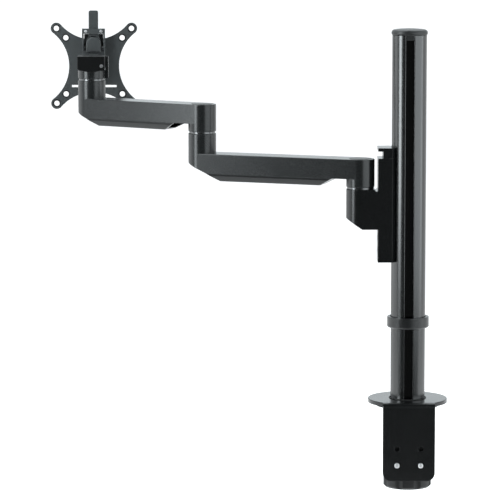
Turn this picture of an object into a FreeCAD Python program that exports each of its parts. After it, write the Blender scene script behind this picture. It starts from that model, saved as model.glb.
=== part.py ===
import FreeCAD, Part
import math
import os

# Desk-clamped monitor arm: a slotted pole, a carrier that slides on it, two swinging arms and a
# quick-release screen head.  Millimetres.  Origin on the desk top at the pole's axis, +Z up,
# +Y from the back edge of the desk towards the person at the screen.

V = FreeCAD.Vector

# Fits
RUN = 0.05            # running clearance of pins in bushes, on the radius
SEAT = 0.02           # seat clearance of pressed pieces, on the radius
SLIDE = 0.3           # clearance of curved faces that slide on each other
GAP = 0.4             # free gap between neighbours that move

# Base: one bent steel plate with a rubber pad, and the lower jaw of the clamp
PLATE_RADIUS = 50.5
PLATE_THICK = 5.0
PLATE_EDGE = 0.8      # rounding of the disc's upper rim
PAD_THICK = 4.0
PAD_INSET = 10.0
TAB_WIDTH = 66.0
TAB_CHORD = 38.0      # from the pole's axis to the line where the tab starts to bend
BEND_INNER = 3.0
LEG_DROP = 90.5       # depth of the leg below the desk top
LEG_CORNER = 10.0
JAW_HOLE_PITCH = 30.0
JAW_HOLE_UPPER = 49.5
JAW_HOLE_STEP = 21.0
JAW_HOLE_RADIUS = 3.5
JAW_WIDTH = 54.0
JAW_FLANGE = 5.0
JAW_FLANGE_TOP = 42.0 # depth of the flange's upper end below the desk top, above the leg's upper holes
JAW_SHELF = 6.0
JAW_SHELF_TOP = 79.0  # depth of the shelf's upper face below the desk top
JAW_REACH = 60.0
JAW_NOSE = 16.0       # corner radius of the shelf's front
JAW_RIB = 4.0         # thickness of the two ribs between the flange and the shelf
JAW_RIB_DEPTH = 15.0
JAW_RIB_RISE = 12.0
SCREW_RADIUS = 2.5
SCREW_HEAD_RADIUS = 4.1
JAW_SCREW_HEAD = 3.3
SCREW_HEAD_HEIGHT = 2.6
SOCKET_DEEP = 2.5     # depth of hexagon sockets
SCREW_CROWN = 1.4     # rounding of the pan heads
CROSS_LONG = 2.3      # half length and half width of the cross recess, and its depth
CROSS_WIDE = 0.45
CROSS_DEEP = 1.5

# Clamp spindle, knob and pressure plate
SPINDLE_RADIUS = 5.0
SPINDLE_INSET = 5.0   # from the pole's axis towards the leg
BOSS_RADIUS = 10.0
BOSS_HEIGHT = 6.0
FOOT_RADIUS = 20.0
FOOT_PLATE = 3.0
FOOT_PAD = 3.0
FOOT_HUB_RADIUS = 9.0
FOOT_HUB = 5.0
FOOT_EDGE = 1.0
FOOT_TOP = 17.0       # depth of the pad's face below the desk top
KNOB_RADIUS = 30.5
KNOB_HEIGHT = 17.5
KNOB_LOBES = 8
KNOB_LOBE_RADIUS = 7.0
KNOB_LOBE_DEPTH = 2.2
KNOB_EDGE = 2.5
KNOB_FLOOR = 3.0      # knob below the spindle's end
KNOB_RIM = 6.0        # wall outside the ring-shaped hollow, and the plastic round the spindle
KNOB_HUB = 5.0
KNOB_ROOF = 4.0
KNOB_GAP = 2.0        # between the knob and the shelf
GROOVE_DROP = 3.0     # retaining groove at the spindle's end
GROOVE_WIDE = 1.2
GROOVE_DEEP = 1.0
SOCKET_ROOF = 2.0

# Pole: slotted extrusion
POLE_RADIUS = 22.4
POLE_TOP = 472.0
SLOT_OPENING = 10.5
SLOT_WIDTH = 16.0
SLOT_LIP = 3.4
SLOT_DEPTH = 7.2
POLE_BORE = 8.0
POLE_CORE_HOLE = 3.0
POLE_CORE_PLACE = 15.4
CAP_RADIUS = 23.0
CAP_HEIGHT = 8.0
# Profile of the domed cap: distance in from its rim, height above the pole's end.
CAP_EDGE = ((1.2, 0.0), (0.3, 0.8), (0.0, 2.4), (0.2, 4.2), (1.0, 5.6), (2.4, 6.6), (7.3, 7.4), (14.4, 7.9))
CAP_SPIGOT = 15.0     # length of the cap's spigot in the pole's bore
CAP_KEY = 6.0         # length of its keys in the slots
PLUG_LENGTH = 40.0
POLE_BOLT_RADIUS = 4.0
POLE_BOLT_HEAD = 8.0
POLE_BOLT_LENGTH = 34.0
POLE_BOLT_KEY = 5.0   # across the flats of its socket
POLE_BOLT_SOCKET = 2.5
MOUTH_EDGE = 0.9      # rounding of the slots' outer edges

# Stop collar
COLLAR_RADIUS = POLE_RADIUS + 4.2
COLLAR_WALL = 3.6
COLLAR_HEIGHT = 14.0
COLLAR_BOTTOM = 100.3
COLLAR_LOWER_EDGE = 2.2
COLLAR_UPPER_EDGE = 0.8
COLLAR_KEY_INSET = 2.0    # from the collar's ends to its key
COLLAR_NUT_THICK = 2.9
COLLAR_NUT_HALF = 7.0
COLLAR_NUT_TALL = 5.0
COLLAR_SCREW_KEY = 2.5
COLLAR_SCREW_SUNK = 0.5

# Arm carrier
KNUCKLE_RADIUS = 18.0
CARRIER_BOTTOM = 185.0
CARRIER_TOP = 317.0
CARRIER_BACK = 39.5   # from the pole's axis to the slab's outer face
CARRIER_CHAMFER = 4.0
SHOULDER_X = 61.3
CARRIER_BLOCK_BOTTOM = 226.8
CARRIER_BLOCK_TOP = 277.5
RELIEF_DEPTH = 2.3
RAIL_LENGTH = 120.0
WEDGE_FLANGE = 4.2
WEDGE_TOP = 330.2
WEDGE_STEM = 9.2
WEDGE_STEM_WIDTH = 20.0
WEDGE_STEM_LENGTH = 38.0
WEDGE_FOOT_GAP = 6.0
WEDGE_STEM_GAP = 1.2  # wall between the wedge's pocket and the pole's cradle at the middle

# Pivots
PIN_RADIUS = 8.0
BUSH_WALL = 2.0
WASHER_THICK = 2.0
WASHER_RADIUS = 16.8
EDGE_CHAMFER = 0.7
NUT_HEIGHT = 6.0
NUT_FLATS = 18.0
NUT_THREAD = 6.0
NUT_POCKET = 12.0
CAP_SEAT_RADIUS = 14.0
CAP_SEAT_DEPTH = 2.0
PIN_DEPTH = 34.0

# Arms
LOWER_LENGTH = 216.0
UPPER_LENGTH = 174.0
LOWER_ANGLE = 21.3    # swing of the lower arm from -X towards +Y
UPPER_ANGLE = 32.7
ARM_WALL = 3.0
ARM_BODY = 25.0
LOWER_END = 36.0
UPPER_END = 35.5
LOWER_POST = 25.5
UPPER_POST = 23.5
COVER_DEPTH = 10.0
COVER_WALL = 2.0
COVER_BOTTOM_HALF = 13.0
COVER_START = 32.0
COVER_SLANT = 18.5
CLIP_HALF = 6.0
CLIP_THICK = 2.0
CLIP_ROOT = 2.5
CLIP_HEIGHT = 6.0
LOWER_COVER_END = 12.0    # from the elbow's axis back to the end of the cover
UPPER_COVER_END = 1.5
LOWER_TAIL_RISE = 13.5
UPPER_TAIL_RISE = 8.5
ARM_EDGE = 0.8

# Head
HEAD_COLLAR = 11.0
NECK_HALF = 11.5
NECK_TOP = 28.0       # above the head pivot's plane
TILT_Y = KNUCKLE_RADIUS + 12.0  # from the head pivot's axis to the tilt axle
TILT_Z = 13.0
BARREL_RADIUS = 12.8
AXLE_RADIUS = 5.0
CHEEK_WALL = 4.0
CHEEK_RADIUS = 14.5
CHEEK_BACK = TILT_Y + 20.0
CHEEK_HALF_HEIGHT = 15.5
BRACKET_DISC = 3.0
BRACKET_DISC_RADIUS = 17.0
HOOD_HALF = 18.0
HOOD_FRONT = 23.0
HOOD_BACK = 4.0
HOOD_TOP = 30.6
HOOD_SIDE_BOTTOM = 14.5
HOOD_MID_BOTTOM = 10.0
HOOD_WALL = 2.0
CHEEK_THICK = 3.6     # upright cheek of the swivel beside the hood
CHEEK_HALF = 7.0
CHEEK_FOOT = 1.0
HOOD_EDGE = 0.6
GRIP_FRONT = -12.0    # ribs inside the hood that hold it on the neck
GRIP_BACK = -2.0
HUB_RADIUS = 6.0
TURN_WASHER = 1.5
PLATE_OFFSET = TILT_Y + 35.0
PLATE_CENTRE = 12.0   # height of the screen plate's centre above the head pivot's plane
WEB_THICK = 2.5
WEB_HALF = 15.0
WEB_TOP = 22.2        # above the plate's centre, clear of the springs round the lever's pin
RAIL_HALF = 15.2
RAIL_WALL = 2.0
RAIL_BOTTOM = 22.5    # above the plate's centre
RAIL_TOP = 50.5
RAIL_DEPTH = 6.5
BAR_HEIGHT = 6.6
BAR_THICK = 2.4
RIVET_RADIUS = 1.9
RIVET_PITCH = 20.4
LEVER_PIVOT = 25.2    # above the plate's centre
LEVER_PIN_RADIUS = 1.5
LEVER_THICK = 2.2
LEVER_SHOULDER = 9.9
LEVER_TAB = 6.3
LEVER_TOP = 74.5
LEVER_ARCH = 8.0      # height of the rounding of the lever's wide part
LEVER_ARCH_STEPS = 12
LEVER_BOTTOM = 19.0
LEVER_SHOULDER_TOP = 33.0

# Screen plate
VESA_LARGE = 100.0
VESA_SMALL = 75.0
SCREEN_PLATE_THICK = 2.5
SCREEN_HOLE_RADIUS = 3.6
SCREEN_END_RADIUS = 7.6
SCREEN_WAIST_X = 33.3
SCREEN_WAIST_Z = 35.0
SCREEN_SLOT_HALF = 29.8
SCREEN_SLOT_HEIGHT = 3.0
SCREEN_SLOT_DROP = 27.0
SCREEN_NOTCH_HALF = 12.0
SCREEN_NOTCH_TOP = -19.0
SLIDE_HEAD_HALF = 12.6
SLIDE_STEM_HALF = 9.6
SLIDE_BOTTOM = -24.0
SLIDE_FOOT = -17.0    # lower end of the slide on the screen plate
SLIDE_TOP = 43.0      # its upper end, behind the release lever
SLIDE_HEAD = 3.0      # thickness of the slide's wide part
HOOK_DEPTH = 5.6      # from the web to the hooks' outer face
HOOK_LIP = 2.0
HOOK_TOP = 30.5

# Worked out from the sizes above
PLATE_TOP = PAD_THICK + PLATE_THICK
BEND_OUTER = BEND_INNER + PLATE_THICK
LEG_FRONT = -(TAB_CHORD + BEND_OUTER)
LEG_INNER = LEG_FRONT + PLATE_THICK
SHOULDER_PLANE = CARRIER_BLOCK_TOP + WASHER_THICK
LOWER_TOP = SHOULDER_PLANE + LOWER_END
ELBOW_PLANE = LOWER_TOP + LOWER_POST + WASHER_THICK
UPPER_TOP = ELBOW_PLANE + UPPER_END
HEAD_PLANE = UPPER_TOP + UPPER_POST + WASHER_THICK


def swing(angle):
    """Unit vector of an arm that is swung by angle degrees from -X towards +Y."""
    return V(-math.cos(math.radians(angle)), math.sin(math.radians(angle)), 0)


SHOULDER = V(-SHOULDER_X, 0, SHOULDER_PLANE)
ELBOW = V(SHOULDER.x, SHOULDER.y, ELBOW_PLANE) + swing(LOWER_ANGLE) * LOWER_LENGTH
HEAD = V(ELBOW.x, ELBOW.y, HEAD_PLANE) + swing(UPPER_ANGLE) * UPPER_LENGTH


def box(x0, x1, y0, y1, z0, z1):
    return Part.makeBox(x1 - x0, y1 - y0, z1 - z0, V(x0, y0, z0))


def rod(radius, start, direction, length):
    return Part.makeCylinder(radius, length, start, direction)


def upright(radius, z0, z1, x=0.0, y=0.0):
    return rod(radius, V(x, y, z0), V(0, 0, 1), z1 - z0)


def prism(points, along):
    """Closed polygon carried along a vector."""
    wire = Part.makePolygon(points + [points[0]])
    return Part.Face(wire).extrude(along)


def revolve(points):
    """Closed polygon of (radius, height) turned about the Z axis."""
    face = Part.Face(Part.makePolygon([V(r, 0, z) for r, z in points + [points[0]]]))
    return face.revolve(V(0, 0, 0), V(0, 0, 1), 360)


def stadium(length, radius, z0, z1):
    """Prism with a round end about the origin and another about (length, 0)."""
    a, b = V(0, radius, z0), V(length, radius, z0)
    c, d = V(length, -radius, z0), V(0, -radius, z0)
    edges = [
        Part.LineSegment(a, b).toShape(),
        Part.Arc(b, V(length + radius, 0, z0), c).toShape(),
        Part.LineSegment(c, d).toShape(),
        Part.Arc(d, V(-radius, 0, z0), a).toShape(),
    ]
    return Part.Face(Part.Wire(edges)).extrude(V(0, 0, z1 - z0))


def edges_at(shape, height):
    """Edges that lie in the level plane at this height."""
    return [e for e in shape.Edges
            if abs(e.BoundBox.ZMin - height) < 1e-4 and abs(e.BoundBox.ZMax - height) < 1e-4]


def hexagon(flats, height, base, direction=V(0, 0, 1)):
    reach = flats / math.sqrt(3)
    corners = [V(reach * math.cos(i * math.pi / 3), reach * math.sin(i * math.pi / 3), 0) for i in range(6)]
    shape = prism(corners, V(0, 0, height))
    shape.Placement = FreeCAD.Placement(base, FreeCAD.Rotation(V(0, 0, 1), direction))
    return shape


def put(shape, origin, angle):
    """Move a piece made along +X from the origin to an arm's place and swing."""
    place = FreeCAD.Placement(origin, FreeCAD.Rotation(V(0, 0, 1), 180 - angle))
    shape.Placement = place.multiply(shape.Placement)
    return shape


def ring(outer, inner, z0, z1):
    return upright(outer, z0, z1).cut(upright(inner, z0 - 1, z1 + 1))


# ---- base and clamp ----

def make_base_plate():
    disc = upright(PLATE_RADIUS, PAD_THICK, PLATE_TOP)
    disc = disc.makeFillet(PLATE_EDGE, edges_at(disc, PLATE_TOP))
    keep = box(-PLATE_RADIUS, PLATE_RADIUS, -TAB_CHORD, PLATE_RADIUS, PAD_THICK, PLATE_TOP)
    disc = disc.common(keep)
    half = TAB_WIDTH / 2
    centre_z = PAD_THICK - BEND_INNER
    bend = rod(BEND_OUTER, V(-half, -TAB_CHORD, centre_z), V(1, 0, 0), TAB_WIDTH)
    bend = bend.cut(rod(BEND_INNER, V(-half - 1, -TAB_CHORD, centre_z), V(1, 0, 0), TAB_WIDTH + 2))
    bend = bend.common(box(-half, half, LEG_FRONT, -TAB_CHORD, centre_z, PLATE_TOP))
    leg = box(-half, half, LEG_FRONT, LEG_INNER, -LEG_DROP, centre_z)
    corners = [e for e in leg.Edges if abs(e.BoundBox.ZMin + LEG_DROP) < 1e-4
               and abs(e.BoundBox.ZMax + LEG_DROP) < 1e-4 and e.BoundBox.XLength < 1e-4]
    leg = leg.makeFillet(LEG_CORNER, corners)
    plate = disc.fuse([bend, leg]).removeSplitter()
    for side in (-1, 1):
        for depth in (JAW_HOLE_UPPER, JAW_HOLE_UPPER + JAW_HOLE_STEP):
            hole_start = V(side * JAW_HOLE_PITCH / 2, LEG_FRONT - 1, -depth)
            plate = plate.cut(rod(JAW_HOLE_RADIUS, hole_start, V(0, 1, 0), PLATE_THICK + 2))
    plate = plate.cut(upright(POLE_BOLT_RADIUS + GAP, PAD_THICK - 1, PLATE_TOP + 1))
    return plate.cut(bolt_head(GAP / 2))


def bolt_head(extra=0.0):
    """Countersunk head of the pole bolt, let into the plate from below."""
    depth = POLE_BOLT_HEAD - POLE_BOLT_RADIUS
    return Part.makeCone(POLE_BOLT_HEAD + extra, POLE_BOLT_RADIUS + extra, depth, V(0, 0, PAD_THICK))


def make_desk_pad():
    radius = PLATE_RADIUS - PAD_INSET
    pad = upright(radius, 0, PAD_THICK)
    return pad.common(box(-radius, radius, -TAB_CHORD, radius, 0, PAD_THICK))


def make_pole_bolt():
    shank = upright(POLE_BOLT_RADIUS, PAD_THICK, PAD_THICK + POLE_BOLT_LENGTH)
    socket = hexagon(POLE_BOLT_KEY, POLE_BOLT_SOCKET, V(0, 0, PAD_THICK))
    return bolt_head().fuse(shank).removeSplitter().cut(socket)


def make_foot_plug():
    plug = upright(POLE_BORE - SEAT, PLATE_TOP, PLATE_TOP + PLUG_LENGTH)
    return plug.cut(upright(POLE_BOLT_RADIUS + SEAT, PLATE_TOP - 1, PLATE_TOP + PLUG_LENGTH + 1))


def slot_cut(angle, z0, z1):
    """One T-slot of the pole, opening at this angle."""
    lip_in = POLE_RADIUS - SLOT_LIP
    mouth = box(lip_in - 0.5, POLE_RADIUS + 1, -SLOT_OPENING / 2, SLOT_OPENING / 2, z0, z1)
    tee = box(POLE_RADIUS - SLOT_DEPTH, lip_in, -SLOT_WIDTH / 2, SLOT_WIDTH / 2, z0, z1)
    shape = mouth.fuse(tee).removeSplitter()
    shape.rotate(V(0, 0, 0), V(0, 0, 1), angle)
    return shape


def make_pole():
    pole = upright(POLE_RADIUS, PLATE_TOP, POLE_TOP)
    cuts = [slot_cut(i * 90, PLATE_TOP - 1, POLE_TOP + 1) for i in range(4)]
    cuts.append(upright(POLE_BORE, PLATE_TOP - 1, POLE_TOP + 1))
    for i in range(4):
        turn = math.radians(45 + 90 * i)
        x, y = POLE_CORE_PLACE * math.cos(turn), POLE_CORE_PLACE * math.sin(turn)
        cuts.append(upright(POLE_CORE_HOLE, PLATE_TOP - 1, POLE_TOP + 1, x, y))
    pole = pole.cut(cuts)
    mouth_edges = []
    for edge in pole.Edges:
        middle = edge.BoundBox.Center
        outside = abs(math.hypot(middle.x, middle.y) - POLE_RADIUS) < 0.05
        if edge.BoundBox.ZLength > POLE_TOP / 2 and outside:
            mouth_edges.append(edge)
    return pole.makeFillet(MOUTH_EDGE, mouth_edges)


def make_pole_cap():
    base = POLE_TOP
    rim = CAP_RADIUS
    points = [(rim - inset, base + rise) for inset, rise in CAP_EDGE]
    points = [(0, base)] + points + [(0, base + CAP_HEIGHT)]
    cap = revolve(points)
    spigot = upright(POLE_BORE - SEAT, base - CAP_SPIGOT, base + 1)
    keys = []
    for i in range(4):
        key = box(POLE_RADIUS - SLOT_DEPTH + GAP, POLE_RADIUS - 1.5, -SLOT_OPENING / 2 + GAP,
                  SLOT_OPENING / 2 - GAP, base - CAP_KEY, base + 1)
        key.rotate(V(0, 0, 0), V(0, 0, 1), i * 90)
        keys.append(key)
    return cap.fuse([spigot] + keys).removeSplitter()


def make_lower_jaw():
    half = JAW_WIDTH / 2
    shelf_low = -(JAW_SHELF_TOP + JAW_SHELF)
    flange_top = -JAW_FLANGE_TOP
    flange = box(-half, half, LEG_INNER, LEG_INNER + JAW_FLANGE, shelf_low, flange_top)
    shelf = box(-half, half, LEG_INNER, LEG_INNER + JAW_REACH, shelf_low, -JAW_SHELF_TOP)
    nose = [e for e in shelf.Edges if e.BoundBox.ZLength > JAW_SHELF / 2 and e.BoundBox.YMin > LEG_INNER + 1]
    shelf = shelf.makeFillet(JAW_NOSE, nose)
    boss = upright(BOSS_RADIUS, shelf_low, -JAW_SHELF_TOP + BOSS_HEIGHT, 0, -SPINDLE_INSET)
    ribs = []
    for side in (-1, 1):
        corner = V(side * (half - JAW_RIB) - JAW_RIB / 2, LEG_INNER + JAW_FLANGE, -JAW_SHELF_TOP)
        points = [corner, corner + V(0, JAW_RIB_DEPTH, 0), corner + V(0, 0, JAW_RIB_RISE)]
        ribs.append(prism(points, V(JAW_RIB, 0, 0)))
    jaw = flange.fuse([shelf, boss] + ribs).removeSplitter()
    bore = upright(SPINDLE_RADIUS + RUN, shelf_low - 1, -JAW_SHELF_TOP + BOSS_HEIGHT + 1, 0, -SPINDLE_INSET)
    jaw = jaw.cut(bore)
    for side in (-1, 1):
        start = V(side * JAW_HOLE_PITCH / 2, LEG_INNER - 1, -(JAW_HOLE_UPPER + JAW_HOLE_STEP))
        jaw = jaw.cut(rod(SCREW_RADIUS + SEAT, start, V(0, 1, 0), JAW_FLANGE + 2))
    return jaw


def make_jaw_screws():
    """Two pan-head screws with cross recesses."""
    screws = []
    for side in (-1, 1):
        x, z = side * JAW_HOLE_PITCH / 2, -(JAW_HOLE_UPPER + JAW_HOLE_STEP)
        shank = rod(SCREW_RADIUS, V(x, LEG_FRONT, z), V(0, 1, 0), PLATE_THICK + JAW_FLANGE)
        head = rod(JAW_SCREW_HEAD, V(x, LEG_FRONT - SCREW_HEAD_HEIGHT, z), V(0, 1, 0), SCREW_HEAD_HEIGHT)
        crown = [e for e in head.Edges if abs(e.BoundBox.YMax - (LEG_FRONT - SCREW_HEAD_HEIGHT)) < 1e-4]
        head = head.makeFillet(SCREW_CROWN, crown)
        screw = head.fuse(shank).removeSplitter()
        front = LEG_FRONT - SCREW_HEAD_HEIGHT
        for wide, tall in ((CROSS_LONG, CROSS_WIDE), (CROSS_WIDE, CROSS_LONG)):
            screw = screw.cut(box(x - wide, x + wide, front - 1, front + CROSS_DEEP, z - tall, z + tall))
        screws.append(screw)
    return Part.makeCompound(screws)


def make_spindle():
    top = -(FOOT_TOP + FOOT_PAD + FOOT_PLATE) - SOCKET_ROOF
    rod_body = upright(SPINDLE_RADIUS, knob_low() + KNOB_FLOOR, top, 0, -SPINDLE_INSET)
    low = top - GROOVE_DROP
    groove = ring(SPINDLE_RADIUS + 1, SPINDLE_RADIUS - GROOVE_DEEP, low, low + GROOVE_WIDE)
    groove.translate(V(0, -SPINDLE_INSET, 0))
    return rod_body.cut(groove)


def knob_low():
    return -(JAW_SHELF_TOP + JAW_SHELF) - KNOB_GAP - KNOB_HEIGHT


def make_knob():
    low = knob_low()
    high = low + KNOB_HEIGHT
    edge = KNOB_EDGE
    r = KNOB_RADIUS
    points = [(0, low), (r - edge, low), (r, low + edge), (r, high - edge), (r - edge, high), (0, high)]
    knob = revolve(points)
    place = r + KNOB_LOBE_RADIUS - KNOB_LOBE_DEPTH
    for i in range(KNOB_LOBES):
        turn = math.radians((i + 0.5) * 360.0 / KNOB_LOBES)
        x, y = place * math.cos(turn), place * math.sin(turn)
        knob = knob.cut(upright(KNOB_LOBE_RADIUS, low - 1, high + 1, x, y))
    knob = knob.cut(upright(SPINDLE_RADIUS + SEAT, low + KNOB_FLOOR, high + 1))
    hollow = ring(r - KNOB_RIM, SPINDLE_RADIUS + KNOB_HUB, low - 1, high - KNOB_ROOF)
    knob = knob.cut(hollow)
    knob.translate(V(0, -SPINDLE_INSET, 0))
    return knob


def make_pressure_plate():
    top = -FOOT_TOP - FOOT_PAD
    plate = upright(FOOT_RADIUS, top - FOOT_PLATE, top)
    underside = top - FOOT_PLATE
    hub = upright(FOOT_HUB_RADIUS, underside - FOOT_HUB, underside)
    plate = plate.fuse(hub).removeSplitter()
    socket = upright(SPINDLE_RADIUS + RUN, underside - FOOT_HUB - 1, underside - SOCKET_ROOF + RUN)
    plate = plate.cut(socket)
    plate.translate(V(0, -SPINDLE_INSET, 0))
    return plate


def make_pressure_pad():
    pad = upright(FOOT_RADIUS, -FOOT_TOP - FOOT_PAD, -FOOT_TOP)
    pad = pad.makeFillet(FOOT_EDGE, edges_at(pad, -FOOT_TOP))
    pad.translate(V(0, -SPINDLE_INSET, 0))
    return pad


# ---- stop collar ----

def make_collar():
    top = COLLAR_BOTTOM + COLLAR_HEIGHT
    inner = COLLAR_RADIUS - COLLAR_WALL
    body = upright(COLLAR_RADIUS, COLLAR_BOTTOM, top)
    body = body.makeFillet(COLLAR_LOWER_EDGE, edges_at(body, COLLAR_BOTTOM))
    body = body.makeFillet(COLLAR_UPPER_EDGE, edges_at(body, top))
    body = body.cut(upright(inner, COLLAR_BOTTOM - 1, top + 1))
    key_in = POLE_RADIUS - SLOT_LIP + GAP
    half = SLOT_OPENING / 2 - SLIDE
    boss = box(-half, half, key_in, inner + 1, COLLAR_BOTTOM + COLLAR_KEY_INSET, top - COLLAR_KEY_INSET)
    body = body.fuse(boss).removeSplitter()
    screw_z = COLLAR_BOTTOM + COLLAR_HEIGHT / 2
    return body.cut(rod(SCREW_RADIUS + SEAT, V(0, key_in - 1, screw_z), V(0, 1, 0), COLLAR_RADIUS))


def make_collar_nut():
    """Square nut that the collar's screw pulls against the lips of the rear slot."""
    screw_z = COLLAR_BOTTOM + COLLAR_HEIGHT / 2
    lip_in = POLE_RADIUS - SLOT_LIP
    outer = lip_in - SLIDE
    nut = box(-COLLAR_NUT_HALF, COLLAR_NUT_HALF, outer - COLLAR_NUT_THICK, outer, screw_z - COLLAR_NUT_TALL,
              screw_z + COLLAR_NUT_TALL)
    start = V(0, outer - COLLAR_NUT_THICK - 1, screw_z)
    return nut.cut(rod(SCREW_RADIUS + SEAT, start, V(0, 1, 0), COLLAR_NUT_THICK + 2))


def make_collar_screw():
    screw_z = COLLAR_BOTTOM + COLLAR_HEIGHT / 2
    lip_in = POLE_RADIUS - SLOT_LIP
    start = V(0, lip_in - SLIDE - COLLAR_NUT_THICK, screw_z)
    end = COLLAR_RADIUS - COLLAR_SCREW_SUNK
    screw = rod(SCREW_RADIUS, start, V(0, 1, 0), end - start.y)
    socket = hexagon(COLLAR_SCREW_KEY, SOCKET_DEEP + 1, V(0, end - SOCKET_DEEP, screw_z), V(0, 1, 0))
    return screw.cut(socket)


# ---- arm carrier ----

def cradle(z0, z1):
    return upright(POLE_RADIUS + SLIDE, z0, z1)


def carrier_outline(z0, z1):
    """Slab section: flat outer face, chamfered towards the pole, hollowed to the pole's radius."""
    k, c = KNUCKLE_RADIUS, CARRIER_CHAMFER
    front = POLE_RADIUS - 1.2
    points = [V(-CARRIER_BACK, -k, z0), V(-front, -k, z0), V(-front + c, -k + c, z0),
              V(-front + c, k - c, z0), V(-front, k, z0), V(-CARRIER_BACK, k, z0)]
    return prism(points, V(0, 0, z1 - z0)).cut(cradle(z0 - 1, z1 + 1))


def wedge_pocket(extra, z0, z1):
    inner = POLE_RADIUS + SLIDE + WEDGE_STEM_GAP
    half = WEDGE_STEM_WIDTH / 2 + extra
    return box(-inner - WEDGE_STEM - extra, -inner + extra, -half, half, z0, z1)


def make_carrier():
    slab = carrier_outline(CARRIER_BOTTOM, CARRIER_TOP)
    block = stadium(SHOULDER_X - CARRIER_BACK + 1, KNUCKLE_RADIUS, CARRIER_BLOCK_BOTTOM, CARRIER_BLOCK_TOP)
    block = block.common(box(-KNUCKLE_RADIUS - 1, SHOULDER_X - CARRIER_BACK + 1, -KNUCKLE_RADIUS - 1,
                             KNUCKLE_RADIUS + 1, CARRIER_BLOCK_BOTTOM, CARRIER_BLOCK_TOP))
    knuckle_rim = upright(KNUCKLE_RADIUS, CARRIER_BLOCK_TOP - EDGE_CHAMFER, CARRIER_BLOCK_TOP)
    knuckle_rim = knuckle_rim.makeChamfer(EDGE_CHAMFER - 0.01, edges_at(knuckle_rim, CARRIER_BLOCK_TOP))
    flat_top = box(0, SHOULDER_X, -KNUCKLE_RADIUS, KNUCKLE_RADIUS, CARRIER_BLOCK_TOP - EDGE_CHAMFER,
                   CARRIER_BLOCK_TOP)
    rim_band = box(-KNUCKLE_RADIUS - 1, 0, -KNUCKLE_RADIUS - 1, KNUCKLE_RADIUS + 1,
                   CARRIER_BLOCK_TOP - EDGE_CHAMFER, CARRIER_BLOCK_TOP)
    block = block.cut(rim_band.cut(knuckle_rim.fuse(flat_top)))
    slant = [V(-KNUCKLE_RADIUS - 1, -KNUCKLE_RADIUS - 1, CARRIER_BLOCK_BOTTOM - 1),
             V(2, -KNUCKLE_RADIUS - 1, CARRIER_BLOCK_BOTTOM - 1),
             V(2, -KNUCKLE_RADIUS - 1, CARRIER_BLOCK_BOTTOM),
             V(-KNUCKLE_RADIUS, -KNUCKLE_RADIUS - 1, CARRIER_BLOCK_BOTTOM + 13.5),
             V(-KNUCKLE_RADIUS - 1, -KNUCKLE_RADIUS - 1, CARRIER_BLOCK_BOTTOM + 13.5)]
    block = block.cut(prism(slant, V(0, 2 * KNUCKLE_RADIUS + 2, 0)))
    block.translate(V(-SHOULDER_X, 0, 0))
    carrier = slab.fuse(block).removeSplitter()
    relief_half = (SHOULDER_X - KNUCKLE_RADIUS - CARRIER_BACK) / 2
    relief_x = -(CARRIER_BACK + relief_half)
    relief_z = CARRIER_BLOCK_TOP - RELIEF_DEPTH + relief_half
    relief = box(relief_x - relief_half, relief_x + relief_half, -KNUCKLE_RADIUS - 1, KNUCKLE_RADIUS + 1,
                 relief_z, CARRIER_BLOCK_TOP + 1)
    relief = relief.fuse(rod(relief_half, V(relief_x, -KNUCKLE_RADIUS - 1, relief_z), V(0, 1, 0),
                             2 * KNUCKLE_RADIUS + 2))
    cuts = [relief, wedge_pocket(GAP / 2, CARRIER_TOP - WEDGE_STEM_LENGTH, CARRIER_TOP + 1)]
    pin_foot = CARRIER_BLOCK_TOP - PIN_DEPTH
    cuts.append(upright(PIN_RADIUS + SEAT, pin_foot, CARRIER_BLOCK_TOP + 1, -SHOULDER_X, 0))
    for z in carrier_screw_heights():
        cuts.append(rod(SCREW_RADIUS + SEAT, V(-CARRIER_BACK - 1, 0, z), V(1, 0, 0), CARRIER_BACK))
        cuts.append(rod(SCREW_HEAD_RADIUS + GAP, V(-CARRIER_BACK - 1, 0, z), V(1, 0, 0), 7))
    return carrier.cut(cuts)


def carrier_screw_heights():
    return (CARRIER_BOTTOM + 14, CARRIER_BLOCK_BOTTOM - 12)


def make_slot_rail():
    """T-section rail that runs in the pole's slot and carries the slab."""
    opening = SLOT_OPENING / 2 - SLIDE
    width = SLOT_WIDTH / 2 - SLIDE
    lip_in = POLE_RADIUS - SLOT_LIP
    z0, z1 = CARRIER_BOTTOM + 4, CARRIER_BOTTOM + 4 + RAIL_LENGTH
    stem = box(-POLE_RADIUS - SLIDE, -lip_in + SLIDE, -opening, opening, z0, z1)
    stem = stem.cut(upright(POLE_RADIUS + 5, z0 - 1, z1 + 1).cut(upright(POLE_RADIUS, z0 - 2, z1 + 2)))
    head = box(-lip_in + SLIDE, -POLE_RADIUS + SLOT_DEPTH - SLIDE, -width, width, z0, z1)
    lug = []
    for z in carrier_screw_heights():
        reach = box(-POLE_RADIUS - SLIDE, -POLE_RADIUS + 1, -opening, opening, z - 5, z + 5)
        lug.append(reach.common(cradle(z - 6, z + 6)))
    rail = stem.fuse([head] + lug).removeSplitter()
    for z in carrier_screw_heights():
        rail = rail.cut(rod(SCREW_RADIUS + SEAT, V(-POLE_RADIUS - 2, 0, z), V(1, 0, 0), SLOT_DEPTH + 3))
    return rail


def make_carrier_screws():
    screws = []
    tip = -POLE_RADIUS + SLOT_DEPTH - SLIDE
    for z in carrier_screw_heights():
        seat = -CARRIER_BACK + 6
        shank = rod(SCREW_RADIUS, V(seat, 0, z), V(1, 0, 0), tip - seat)
        head = rod(SCREW_HEAD_RADIUS, V(seat - 4.5, 0, z), V(1, 0, 0), 4.5)
        socket = hexagon(3.6, 2.6, V(seat - 4.6, 0, z), V(1, 0, 0))
        screws.append(head.fuse(shank).removeSplitter().cut(socket))
    return Part.makeCompound(screws)


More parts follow.
